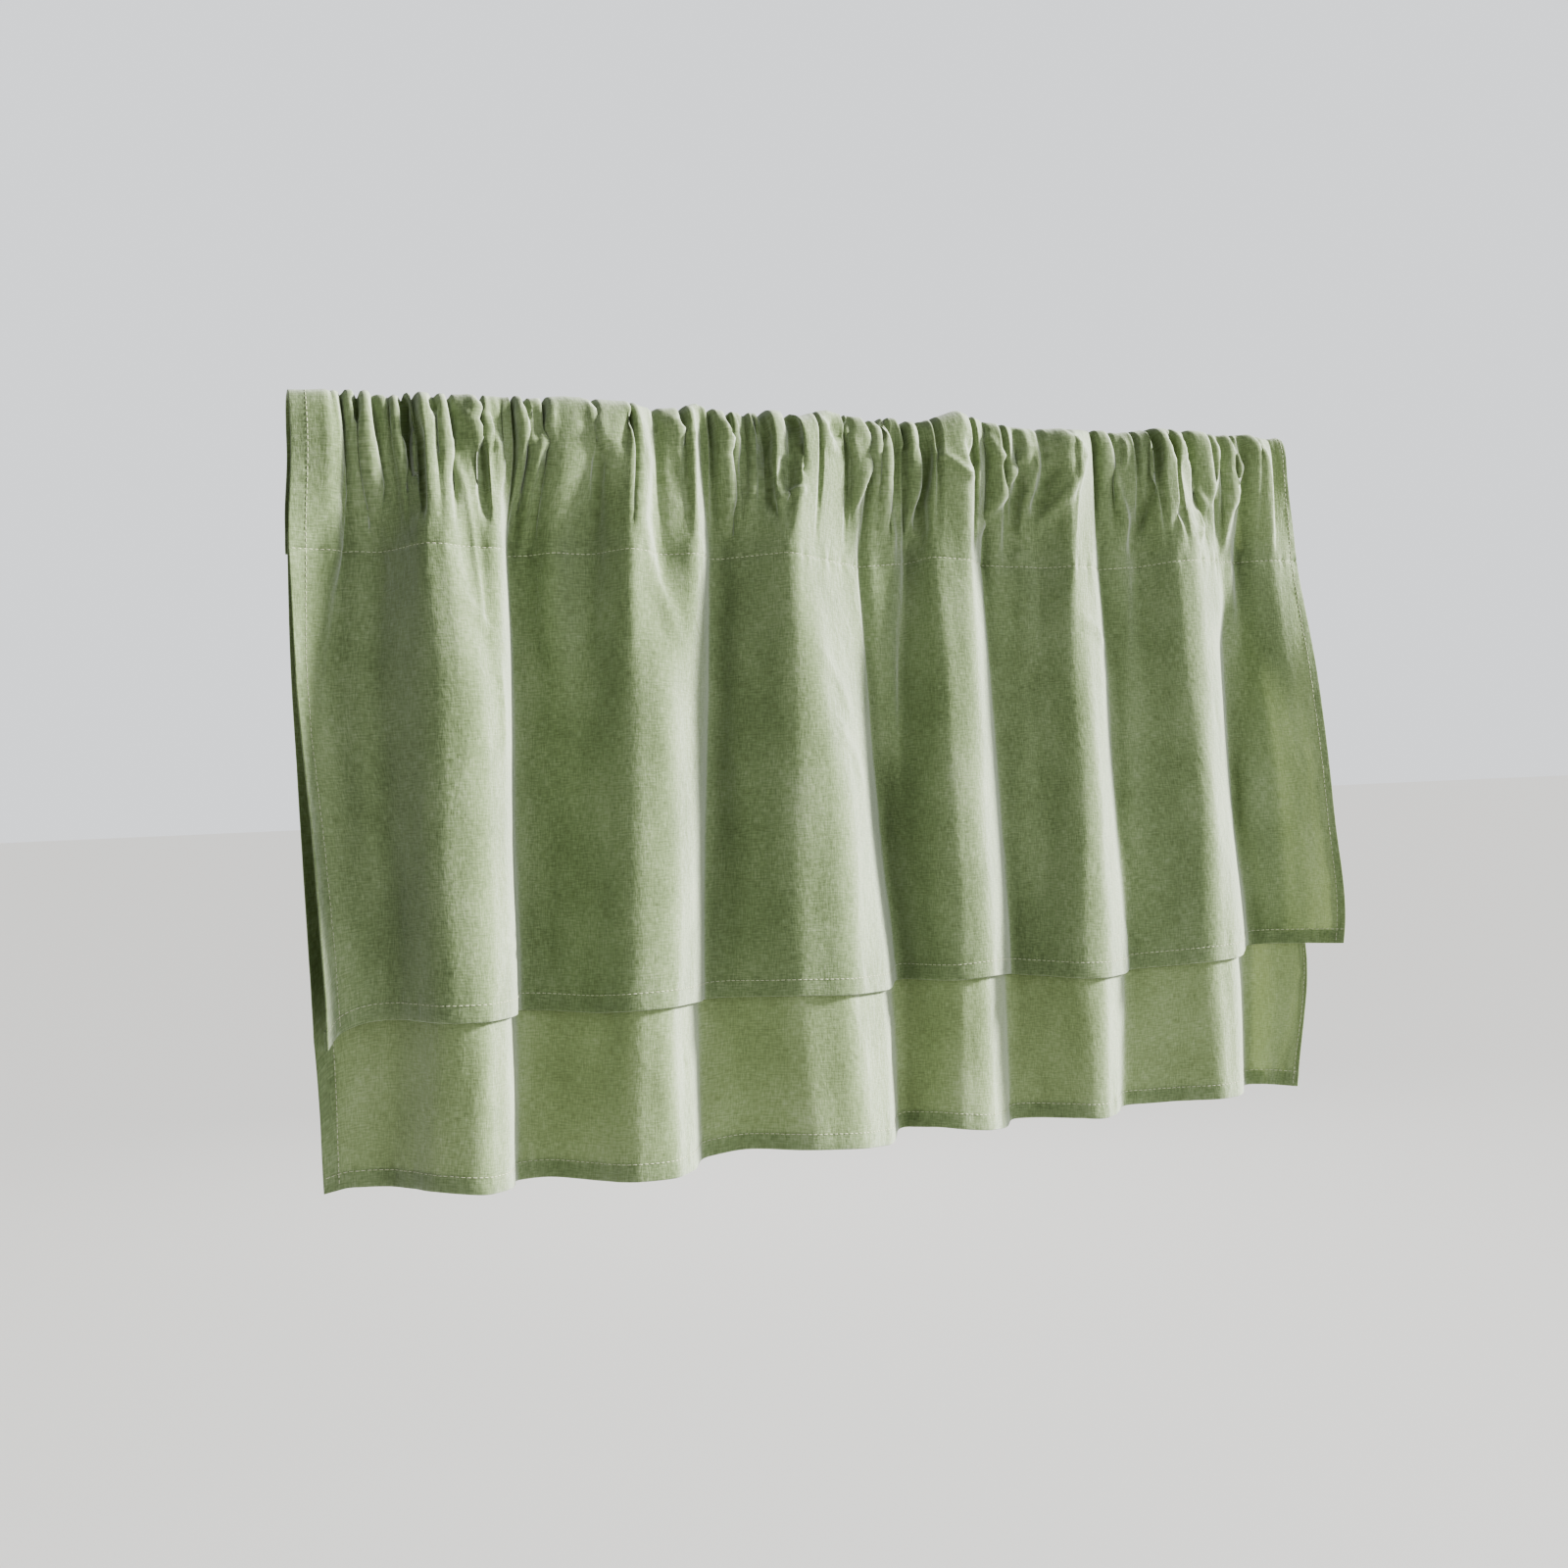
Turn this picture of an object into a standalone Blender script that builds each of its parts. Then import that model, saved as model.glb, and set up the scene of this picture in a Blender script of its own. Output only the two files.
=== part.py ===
"""Two-tier cafe curtain of gathered cloth, hanging as on a rod that runs through its top pocket.

The origin is the middle of the top edge. +X runs along the top edge, the front faces -Y and +Z is up.
Sizes are in millimetres. `flat` is the distance across the cloth from its left edge when it is laid flat.
"""

import math

import bmesh
import bpy
import numpy as np

MM = 0.001

# Driving dimensions
FLAT_WIDTH = 1000.0
CLOTH = 1.5  # thickness of the cloth with its nap
POCKET_DEPTH = 92.0  # from the top edge to the row of stitches that closes the pocket
FRONT_DROP = 355.0
BACK_DROP = 450.0
FLAP_BELOW = 3.0  # the turned-over top ends this far below the stitches
TUCK = 9.0  # the back tier's top edge lies this far above the stitches, inside the pocket

# The pocket round the rod
ROD_CENTRE = -27.0  # height of the middle of the rod
SNUG = 9.0  # from the rod's middle to the cloth where a dip pulls down on it
BULGE = 0.7  # how far a gather stands out to the front and back, as a share of its rise

# How far the layers lie behind the front one, middle to middle
TUCK_BEHIND = 2.7
FLAP_BEHIND = 5.6
BACK_BEHIND = 4.5
OPENS_OVER = 120.0  # the tiers part to that gap over this much below the stitches

# The mesh
COLUMN_STEP = 10.0  # at most this much cloth between columns
ROUNDNESS = 1.0  # 1 turns the cloth round at a ridge, 0 creases it
LEAST_STEP = 0.6  # between neighbouring columns of a layer inside a ridge
SAMPLE = 0.1  # of a column, where a row is read to find the layer behind it

# The gathers on the rod, from the left: each ridge, and the dip to its right
# ridge flat, ridge x, ridge height, dip x, dip height
GATHERS = (
    (15, -314, -1, -302, -4),
    (27, -298, -1, -296, -9),
    (39, -292, 0, -287, -15),
    (59, -282, 0, -279, -5),
    (68, -275, -2, -270, -8),
    (78, -265, -2, -262, -12),
    (93, -259, 0, -254, -14),
    (114, -250, 0, -247, -8),
    (127, -241, 0, -237, -10),
    (142, -230, 0, -219, -16),
    (167, -204, 0, -200, -10),
    (185, -197, 1, -193, -7),
    (199, -189, -1, -182, -13),
    (228, -169, 1, -154, -6),
    (261, -144, -1, -132, -14),
    (297, -124, -2, -116, -7),
    (319, -108, -3, -99, -10),
    (349, -88, 1, -81, -12),
    (379, -73, -3, -69, -16),
    (400, -64, -3, -58, -9),
    (417, -53, -3, -46, -10),
    (435, -37, 1, -32, -14),
    (458, -25, -5, -14, -9),
    (492, -4, 1, 7, -10),
    (514, 15, -3, 21, -13),
    (531, 26, -5, 29, -10),
    (545, 32, -3, 35, -13),
    (561, 40, -2, 44, -17),
    (582, 49, -5, 55, -15),
    (600, 60, -4, 66, -10),
    (622, 83, 3, 93, -13),
    (652, 103, -2, 114, -17),
    (689, 132, -6, 140, -10),
    (712, 150, -6, 160, -8),
    (745, 173, -5, 182, -14),
    (780, 190, -5, 195, -9),
    (803, 202, -6, 210, -13),
    (830, 217, -5, 222, -15),
    (861, 229, -3, 237, -16),
    (891, 246, -4, 253, -8),
    (908, 259, -3, 270, -9),
    (925, 278, -5, 289, -9),
    (957, 300, -4, 307, -8),
    (980, 314, -6, 320, -8),
)
LEFT_TOP = (0, -323, -3)  # flat, x, height
RIGHT_TOP = (FLAT_WIDTH, 324, -7)

# Ridges and valleys along the row of stitches: flat, x, y, z
STITCH_ROW = (
    (0, -327, -10, -91),
    (15, -316, -20, -91),
    (40, -298, -3, -91),
    (57, -284, -6, -91),
    (80, -269, 12, -91),
    (125, -248, -30, -90),
    (150, -229, -18, -91),
    (165, -218, -26, -91),
    (206, -194, 10, -91),
    (228, -176, 4, -91),
    (254, -154, 12, -91),
    (295, -137, -29, -91),
    (323, -117, -12, -92),
    (348, -97, -23, -92),
    (380, -76, 2, -92),
    (410, -55, 13, -92),
    (456, -36, -32, -93),
    (490, -9, -22, -95),
    (529, 22, 5, -95),
    (545, 33, 0, -94),
    (575, 57, 16, -92),
    (618, 72, -29, -90),
    (662, 106, 4, -93),
    (679, 118, -2, -94),
    (703, 140, 10, -96),
    (742, 155, -26, -97),
    (787, 189, 5, -96),
    (803, 203, 0, -96),
    (832, 228, 12, -95),
    (872, 245, -26, -92),
    (910, 274, 1, -91),
    (927, 286, -4, -90),
    (950, 304, 8, -90),
    (978, 317, -17, -90),
    (1000, 334, -12, -90),
)

# The front tier's hem, which swings wider than the stitches above it: flat, x, y, z
FRONT_HEM = (
    (0, -319, -56, -360),
    (30, -311, -25, -357),
    (54, -303, 0, -355),
    (73, -290, 8, -355),
    (104, -264, -18, -355),
    (131, -250, -44, -355),
    (149, -236, -56, -355),
    (181, -215, -30, -355),
    (214, -204, 4, -355),
    (262, -177, -37, -355),
    (306, -137, -60, -355),
    (341, -112, -42, -355),
    (378, -92, -12, -355),
    (412, -58, -26, -355),
    (438, -38, -46, -356),
    (461, -16, -54, -357),
    (489, 9, -40, -357),
    (550, 36, 14, -356),
    (590, 56, -22, -355),
    (611, 74, -36, -355),
    (641, 98, -22, -355),
    (676, 117, 5, -357),
    (711, 135, -26, -359),
    (742, 152, -54, -359),
    (762, 166, -46, -359),
    (797, 186, -16, -358),
    (826, 210, -34, -357),
    (861, 248, -42, -356),
    (890, 269, -26, -355),
    (941, 308, 24, -354),
    (968, 326, 4, -353),
    (1000, 350, -18, -352),
)

# The back tier's hem: flat, x, y, z
BACK_HEM = (
    (0, -321, 5, -450),
    (34, -309, 25, -450),
    (54, -294, 24, -450),
    (84, -270, 2, -450),
    (110, -260, -24, -450),
    (149, -243, -58, -450),
    (177, -222, -42, -450),
    (214, -208, -4, -450),
    (253, -180, -32, -450),
    (301, -146, -63, -450),
    (331, -122, -50, -450),
    (384, -94, 8, -450),
    (409, -72, 6, -450),
    (432, -54, -11, -450),
    (472, -20, -43, -450),
    (503, 10, -36, -450),
    (568, 42, 27, -450),
    (618, 60, -20, -450),
    (640, 76, -38, -450),
    (661, 90, -26, -450),
    (697, 109, 2, -450),
    (735, 138, -26, -450),
    (752, 152, -36, -450),
    (776, 170, -26, -450),
    (812, 191, 3, -450),
    (842, 216, 0, -450),
    (881, 252, -20, -450),
    (903, 270, -12, -450),
    (958, 302, 24, -450),
    (1000, 321, -8, -450),
)

# Heights of the rows of the mesh, and angles round the rod from the back over the top to the front
FLAP_HEIGHTS = (-POCKET_DEPTH - FLAP_BELOW, TUCK - POCKET_DEPTH, -68, -50)
ROD_ANGLES = (180, 145, 110, 70, 35, 0)
POCKET_HEIGHTS = (-44, -60, -76, -POCKET_DEPTH)
SKIRT_HEIGHTS = (-128, -172, -222, -272, -316, -FRONT_DROP)
BACK_HEIGHTS = (TUCK - POCKET_DEPTH, -POCKET_DEPTH) + SKIRT_HEIGHTS + (-402, -BACK_DROP)

# Sage green cloth, which looks yellower where light comes through a single layer
CLOTH_COLOUR = (0.29, 0.36, 0.19, 1.0)
BACKLIT_COLOUR = (0.33, 0.42, 0.20, 1.0)
CLOTH_ROUGHNESS = 0.9


def through(places, values, slopes, at):
    """A smooth curve through values at places, with the given slopes there, read at each of `at`."""
    i = np.clip(np.searchsorted(places, at, side="right") - 1, 0, len(places) - 2)
    width = places[i + 1] - places[i]
    t = (at - places[i]) / width
    return (
        values[i] * (2 * t**3 - 3 * t**2 + 1)
        + slopes[i] * width * (t**3 - 2 * t**2 + t)
        + values[i + 1] * (3 * t**2 - 2 * t**3)
        + slopes[i + 1] * width * (t**3 - t**2)
    )


def mean_slopes(places, values):
    run = np.diff(values) / np.diff(places)
    return np.concatenate([run[:1], 0.5 * (run[:-1] + run[1:]), run[-1:]])


def fold_line(table, flat):
    """x, y and z of a row of folds at each flat place. The cloth turns round at every ridge and valley."""
    places, x, y, z = np.array(table, dtype=float).T
    run_x = np.diff(x) / np.diff(places)
    run_y = np.diff(y) / np.diff(places)
    turns = run_y[:-1] * run_y[1:] <= 0
    slope_x, slope_y = mean_slopes(places, x), mean_slopes(places, y)
    slope_x[1:-1][turns] = np.minimum(ROUNDNESS, 3.0 * np.minimum(run_x[:-1], run_x[1:]))[turns]
    slope_y[1:-1][turns] = 0.0
    return np.stack(
        [
            through(places, x, slope_x, flat),
            through(places, y, slope_y, flat),
            through(places, z, mean_slopes(places, z), flat),
        ],
        axis=-1,
    )


def gather_rows():
    """Ridges and dips in one table of flat, x and height. A dip takes its share of the cloth between ridges."""
    rows = [LEFT_TOP]
    for gather, after in zip(GATHERS, GATHERS[1:] + (RIGHT_TOP,)):
        flat, x, height, dip_x, dip_height = gather
        down = math.hypot(dip_x - x, dip_height - height)
        up = math.hypot(after[1] - dip_x, after[2] - dip_height)
        rows.append((flat, x, height))
        rows.append((flat + (after[0] - flat) * down / (down + up), dip_x, dip_height))
    rows.append(RIGHT_TOP)
    return np.array(rows, dtype=float)


def gather_line(flat):
    """x along the rod and height of the top edge at each flat place."""
    places, x, height = gather_rows().T
    run_x = np.diff(x) / np.diff(places)
    slope_x = mean_slopes(places, x)
    slope_x[1:-1] = np.minimum(ROUNDNESS, 2.0 * np.minimum(run_x[:-1], run_x[1:]))
    return through(places, x, slope_x, flat), through(places, height, np.zeros_like(x), flat)


def columns():
    """Flat places of the mesh's columns: every ridge and dip, with more between them where they are wide."""
    places = gather_rows()[:, 0]
    flat = [places[0]]
    for start, end in zip(places, places[1:]):
        parts = max(1, round((end - start) / COLUMN_STEP))
        flat.extend(start + (end - start) * k / parts for k in range(1, parts + 1))
    return np.array(flat)


def clear_of(row, front, distance):
    """A row moved square to its own cloth by a distance, then back to where it clears the front row by it."""
    along = np.gradient(row[:, :2], axis=0)
    along /= np.linalg.norm(along, axis=1)[:, None]
    across = row[:, 0] - distance * along[:, 1]
    for k in range(1, len(across)):
        across[k] = max(across[k], across[k - 1] + LEAST_STEP)
    places = np.arange(0, len(front) - 1 + SAMPLE, SAMPLE)
    line_x = np.interp(places, np.arange(len(front)), front[:, 0])
    line_y = np.interp(places, np.arange(len(front)), front[:, 1])
    sideways = across[:, None] - line_x[None, :]
    lift = np.sqrt(np.maximum(distance**2 - sideways**2, 0.0))
    depth = np.where(np.abs(sideways) < distance, line_y[None, :] + lift, -np.inf)
    own = row[:, 1] + distance * along[:, 0]
    return np.column_stack([across, np.maximum(own, depth.max(axis=1)), row[:, 2]])


def blend(start, end, share, bow):
    """Part of the way from one row to another. With `bow` the cloth leaves and arrives upright."""
    eased = share * share * (3.0 - 2.0 * share) if bow else share
    row = start + (end - start) * eased
    row[:, 2] = start[:, 2] + (end[:, 2] - start[:, 2]) * share
    return row


def over_rod(flat, angle):
    """The row at an angle round the rod, from 0 at the front over the top to 180 at the back."""
    x, height = gather_line(flat)
    rise = height - ROD_CENTRE
    reach = SNUG + BULGE * (rise - SNUG)
    turn = math.radians(angle)
    return np.stack([x, -reach * math.cos(turn), ROD_CENTRE + rise * math.sin(turn)], axis=-1)


def front_row(flat, height):
    """The front tier's row at a height, from the gathers past the stitches to the hem."""
    stitches = fold_line(STITCH_ROW, flat)
    if height > -POCKET_DEPTH:
        share = (ROD_CENTRE - height) / (ROD_CENTRE + POCKET_DEPTH)
        return blend(over_rod(flat, 0), stitches, share, bow=True)
    share = (-POCKET_DEPTH - height) / (FRONT_DROP - POCKET_DEPTH)
    return blend(stitches, fold_line(FRONT_HEM, flat), share, bow=False)


def flap_row(flat, height):
    """The turned-over part's row at a height, from behind the rod down to the stitches."""
    face = front_row(flat, min(height, TUCK - POCKET_DEPTH))
    low = clear_of(face, face, FLAP_BEHIND)
    if height <= TUCK - POCKET_DEPTH:
        return low
    share = (ROD_CENTRE - height) / (ROD_CENTRE - TUCK + POCKET_DEPTH)
    return blend(over_rod(flat, 180), low, share, bow=True)


def hung_row(flat, height):
    """Where the back tier would hang if the front tier were not in its way."""
    if height > -POCKET_DEPTH:
        return front_row(flat, height)
    share = (-POCKET_DEPTH - height) / (BACK_DROP - POCKET_DEPTH)
    return blend(fold_line(STITCH_ROW, flat), fold_line(BACK_HEM, flat), share, bow=False)


def back_row(flat, height):
    """The back tier's row at a height. The front tier holds it back, less and less below the front hem."""
    level = max(height, -FRONT_DROP)
    opened = min(1.0, max(0.0, (-POCKET_DEPTH - level) / OPENS_OVER))
    gap = TUCK_BEHIND + (BACK_BEHIND - TUCK_BEHIND) * opened
    hung = hung_row(flat, level)
    held = clear_of(hung, front_row(flat, level), gap)
    below = (level - height) / (BACK_DROP - FRONT_DROP)
    return hung_row(flat, height) + (held - hung) * (1.0 - below)


def front_tier_rows(flat):
    flap = [flap_row(flat, height) for height in FLAP_HEIGHTS]
    top = [over_rod(flat, angle) for angle in ROD_ANGLES]
    face = [front_row(flat, height) for height in POCKET_HEIGHTS + SKIRT_HEIGHTS]
    return np.array(flap + top + face)


def back_tier_rows(flat):
    return np.array([back_row(flat, height) for height in BACK_HEIGHTS])


def fabric(name, colour):
    material = bpy.data.materials.new(name)
    material.use_nodes = True
    shader = material.node_tree.nodes["Principled BSDF"]
    shader.inputs["Base Color"].default_value = colour
    shader.inputs["Roughness"].default_value = CLOTH_ROUGHNESS
    shader.inputs["Metallic"].default_value = 0.0
    return material


def make_tier(name, rows, material):
    """A closed sheet of even thickness on a grid of rows and columns."""
    mesh = bpy.data.meshes.new(name)
    sheet = bmesh.new()
    grid = [[sheet.verts.new(point * MM) for point in row] for row in rows]
    for lower, upper in zip(grid, grid[1:]):
        for k in range(len(lower) - 1):
            sheet.faces.new((lower[k], lower[k + 1], upper[k + 1], upper[k]))
    sheet.to_mesh(mesh)
    sheet.free()
    mesh.shade_smooth()
    tier = bpy.data.objects.new(name, mesh)
    tier.data.materials.append(material)
    bpy.context.collection.objects.link(tier)
    thicken = tier.modifiers.new("thickness", "SOLIDIFY")
    thicken.thickness = CLOTH * MM
    thicken.offset = 0.0
    return tier


def main():
    for thing in list(bpy.data.objects):
        bpy.data.objects.remove(thing, do_unlink=True)
    flat = columns()
    make_tier("front_tier", front_tier_rows(flat), fabric("sage_cloth", CLOTH_COLOUR))
    make_tier("back_tier", back_tier_rows(flat), fabric("sage_cloth_backlit", BACKLIT_COLOUR))


main()
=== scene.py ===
"""Looks of the two-tier cafe curtain: its woven cloth, hems, gathers, wrinkles and stitches.

Lengths in the tables and functions are millimetres. `flat` is the distance across the cloth from its left
edge when it is laid flat, and `height` is measured from the top edge, so it is negative on the curtain.
"""

import math

import bpy
import numpy as np
from mathutils import Matrix, Vector


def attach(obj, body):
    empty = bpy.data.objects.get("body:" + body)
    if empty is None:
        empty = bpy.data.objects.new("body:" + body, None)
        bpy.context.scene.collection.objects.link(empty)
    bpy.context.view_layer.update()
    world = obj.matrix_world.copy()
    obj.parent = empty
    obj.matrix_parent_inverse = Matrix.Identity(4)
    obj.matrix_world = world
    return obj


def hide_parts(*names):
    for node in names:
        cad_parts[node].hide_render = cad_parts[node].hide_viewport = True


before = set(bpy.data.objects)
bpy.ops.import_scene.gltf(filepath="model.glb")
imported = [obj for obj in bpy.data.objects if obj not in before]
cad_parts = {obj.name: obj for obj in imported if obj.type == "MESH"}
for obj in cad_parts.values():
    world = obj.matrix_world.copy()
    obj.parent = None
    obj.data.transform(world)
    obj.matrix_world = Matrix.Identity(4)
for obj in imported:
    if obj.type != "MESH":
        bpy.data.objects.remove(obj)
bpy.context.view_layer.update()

MM = 0.001

# Driving dimensions, as in the solids
FLAT_WIDTH = 1000.0
POCKET_DEPTH = 92.0
FRONT_DROP = 355.0
BACK_DROP = 450.0
FLAP_BELOW = 3.0
TUCK = 9.0
ROD_CENTRE = -27.0
SNUG = 9.0
BULGE = 0.7
TUCK_BEHIND = 2.7
FLAP_BEHIND = 5.6
BACK_BEHIND = 4.5
OPENS_OVER = 120.0
BACK_LEFT = 2.5  # the back tier's side edges hang this much further left than the front tier's
BACK_RIGHT = 37.0
EDGE_REACH = 26.0
BACK_CURL = 24.0  # and its left edge this much further back
CURL_REACH = 40.0

# Hems, seams and the fineness of the cloth's grids
HEM = 10.0
HEM_GAP = 1.1  # between the two layers of a hem
SEAM = 9.3  # from a hem's edge to its stitches
COLUMN_STEP = 1.75
LEAST_STEP = 0.12
FRONT_STEP = 3.7
BACK_STEP = 3.2
FLAP_STEP = 5.0
POCKET_STEP = 2.0
ROD_STEP = 9.0  # degrees
SLOT_CLEAR = 0.45  # columns at the slots are no closer than this to others
SEAM_ROWS = (3.0, 1.8, 0.9, 0.0, -0.9, -1.8)  # rows by the row of stitches, above it and below
SAMPLE = 0.5

# Fold lines of the front tier where it leaves the rod: flat, x, y
HEADING = (
    (0, -324, -16),
    (23, -303, -18),
    (28, -300, -13),
    (35, -298, -8),
    (40, -295, -11),
    (52, -285, -17),
    (58, -281, -13),
    (64, -280, -8),
    (74, -271, -14),
    (80, -266, -15),
    (85, -262, -14),
    (91, -260, -8),
    (96, -258, -24),
    (117, -240, -18),
    (124, -236, -11),
    (138, -223, -18),
    (143, -219, -18),
    (152, -213, -12),
    (156, -210, -12),
    (162, -207, -8),
    (190, -195, -17),
    (204, -185, -15),
    (230, -165, -21),
    (240, -157, -20),
    (248, -153, -24),
    (266, -138, -26),
    (275, -133, -27),
    (300, -119, -13),
    (326, -94, -19),
    (338, -91, -12),
    (350, -87, -8),
    (364, -78, -16),
    (372, -71, -16),
    (380, -66, -11),
    (384, -64, -8),
    (392, -56, -14),
    (396, -54, -8),
    (402, -49, -22),
    (409, -41, -22),
    (413, -35, -17),
    (421, -28, -26),
    (486, 7, -9),
    (492, 9, -7),
    (500, 12, -13),
    (508, 19, -11),
    (514, 21, -7),
    (522, 28, -15),
    (530, 34, -13),
    (537, 37, -7),
    (547, 44, -16),
    (556, 53, -15),
    (562, 56, -7),
    (570, 61, -17),
    (602, 84, -21),
    (626, 101, -9),
    (638, 103, -7),
    (647, 104, -13),
    (658, 113, -17),
    (667, 121, -11),
    (670, 123, -8),
    (677, 129, -16),
    (681, 134, -13),
    (694, 146, -18),
    (702, 152, -24),
    (711, 161, -25),
    (748, 180, -9),
    (758, 181, -7),
    (763, 184, -11),
    (769, 189, -12),
    (775, 194, -9),
    (791, 205, -13),
    (812, 216, -20),
    (818, 218, -23),
    (838, 235, -25),
    (862, 249, -12),
    (868, 250, -8),
    (874, 255, -13),
    (885, 266, -17),
    (898, 277, -9),
    (904, 278, -7),
    (910, 283, -13),
    (918, 291, -12),
    (926, 294, -7),
    (936, 299, -15),
    (944, 306, -17),
    (966, 322, -9),
    (1000, 329, -12),
)

# The top edge's ridges and the narrow slots after them: ridge x, ridge height, slot x, slot height
GATHERS = (
    (-314, -1, -302, -4),
    (-298, -1, -296, -9),
    (-292, 0, -287, -15),
    (-282, 0, -279, -5),
    (-275, -2, -270, -8),
    (-265, -2, -262, -12),
    (-259, 0, -257, -14),
    (-250, 0, -245, -7),
    (-241, 0, -237, -10),
    (-230, 0, -219, -16),
    (-204, 0, -200, -10),
    (-197, 1, -193, -7),
    (-189, -1, -182, -13),
    (-169, 1, -154, -6),
    (-144, -1, -132, -14),
    (-124, -2, -116, -7),
    (-108, -3, -99, -10),
    (-88, 1, -81, -12),
    (-73, -3, -69, -16),
    (-64, -3, -58, -9),
    (-53, -3, -49, -12),
    (-40, -1, -32, -14),
    (-25, -5, -14, -9),
    (-4, 1, 7, -10),
    (15, -3, 21, -13),
    (26, -5, 29, -10),
    (32, -3, 35, -13),
    (40, -2, 44, -17),
    (49, -5, 55, -15),
    (60, -4, 66, -10),
    (83, 3, 93, -13),
    (103, -2, 114, -17),
    (132, -6, 140, -10),
    (150, -6, 160, -8),
    (173, -5, 182, -14),
    (190, -5, 195, -9),
    (202, -6, 210, -13),
    (217, -5, 222, -15),
    (229, -3, 237, -16),
    (246, -4, 253, -8),
    (259, -3, 270, -9),
    (278, -5, 289, -9),
    (300, -4, 307, -8),
    (314, -6, 320, -8),
)
SLOT = 3.4  # cloth from a slot's middle to where it is full
SLOT_REACH = 4.0
SLOT_LEFT = 0.55  # how much of a slot's depth is left at the rod's height
OUTLINE_DIP = 0.3  # how much of a slot's depth shows in the outline

# Fold lines along the row of stitches: flat, x, y, z
STITCH_ROW = (
    (0, -327, -16, -91),
    (26, -303, -7, -91),
    (34, -300, 3, -91),
    (56, -274, 1, -91),
    (96, -259, -33, -90),
    (117, -242, -35, -91),
    (133, -231, -22, -91),
    (146, -217, -27, -91),
    (156, -210, -19, -91),
    (190, -204, 10, -91),
    (204, -189, 5, -91),
    (222, -178, -5, -91),
    (244, -157, -3, -91),
    (275, -138, -29, -91),
    (300, -118, -11, -92),
    (324, -96, -19, -92),
    (342, -87, -9, -92),
    (357, -81, 4, -92),
    (368, -70, 4, -92),
    (415, -43, -29, -92),
    (423, -36, -30, -93),
    (497, 14, 4, -95),
    (512, 19, 11, -95),
    (520, 25, 6, -95),
    (540, 48, 9, -93),
    (550, 54, 18, -92),
    (572, 64, -4, -90),
    (602, 90, -6, -92),
    (630, 103, 7, -93),
    (640, 107, 12, -93),
    (650, 112, 6, -94),
    (664, 125, 7, -95),
    (673, 133, 1, -95),
    (681, 141, 1, -96),
    (708, 158, -18, -97),
    (748, 181, -5, -96),
    (764, 190, 7, -96),
    (772, 195, 2, -96),
    (792, 215, 4, -95),
    (830, 236, -18, -93),
    (848, 252, -18, -92),
    (876, 270, -6, -91),
    (898, 279, 4, -91),
    (912, 292, 2, -90),
    (922, 299, 11, -90),
    (938, 306, 0, -90),
    (958, 320, -5, -90),
    (1000, 341, -2, -90),
)

# Fold lines a third of the way down from the stitches to the front hem: flat, x, y, z
UPPER_FOLDS = (
    (0, -326, -23, -170),
    (24, -313, -13, -170),
    (30, -310, -11, -170),
    (54, -287, -14, -170),
    (96, -258, -50, -170),
    (119, -236, -52, -170),
    (155, -211, -27, -170),
    (190, -203, 11, -170),
    (205, -190, 6, -170),
    (222, -178, -4, -170),
    (241, -163, -7, -170),
    (275, -145, -32, -170),
    (300, -121, -32, -170),
    (344, -87, 0, -170),
    (356, -83, 9, -170),
    (367, -73, 6, -170),
    (415, -45, -32, -170),
    (436, -26, -32, -170),
    (498, 20, 9, -170),
    (511, 24, 14, -170),
    (519, 29, 9, -170),
    (533, 41, 8, -170),
    (543, 46, 13, -170),
    (572, 60, -11, -170),
    (580, 66, -15, -170),
    (602, 86, -15, -170),
    (630, 103, 1, -170),
    (640, 108, 8, -170),
    (651, 117, 4, -170),
    (667, 130, 2, -170),
    (708, 151, -22, -170),
    (723, 164, -22, -170),
    (748, 184, -7, -170),
    (766, 193, 6, -170),
    (790, 213, 1, -170),
    (830, 236, -22, -170),
    (848, 251, -22, -170),
    (876, 272, -8, -170),
    (902, 289, 13, -170),
    (918, 300, 8, -170),
    (938, 309, -4, -170),
    (956, 321, -12, -170),
    (1000, 342, -19, -170),
)

# Fold lines two thirds of the way down: flat, x, y, z
LOWER_FOLDS = (
    (0, -321, -27, -262),
    (7, -317, -21, -262),
    (16, -310, -20, -262),
    (32, -298, -22, -262),
    (50, -282, -27, -262),
    (96, -260, -57, -262),
    (120, -235, -58, -262),
    (154, -216, -35, -262),
    (193, -205, 12, -262),
    (222, -183, 1, -262),
    (246, -166, -13, -262),
    (275, -149, -38, -262),
    (302, -121, -35, -262),
    (347, -93, -1, -262),
    (359, -88, 11, -262),
    (371, -77, 6, -262),
    (415, -48, -31, -262),
    (453, -10, -29, -262),
    (502, 25, 9, -262),
    (519, 32, 23, -262),
    (572, 55, -13, -262),
    (584, 65, -20, -262),
    (604, 83, -20, -262),
    (632, 105, 0, -262),
    (644, 113, 11, -262),
    (670, 136, 2, -262),
    (708, 156, -21, -262),
    (722, 169, -20, -262),
    (750, 189, -4, -262),
    (765, 197, 7, -262),
    (803, 230, -6, -262),
    (830, 253, -20, -262),
    (871, 283, 2, -262),
    (896, 297, 19, -262),
    (910, 302, 11, -262),
    (932, 322, 7, -262),
    (951, 334, -4, -262),
    (1000, 355, -14, -262),
)

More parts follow.
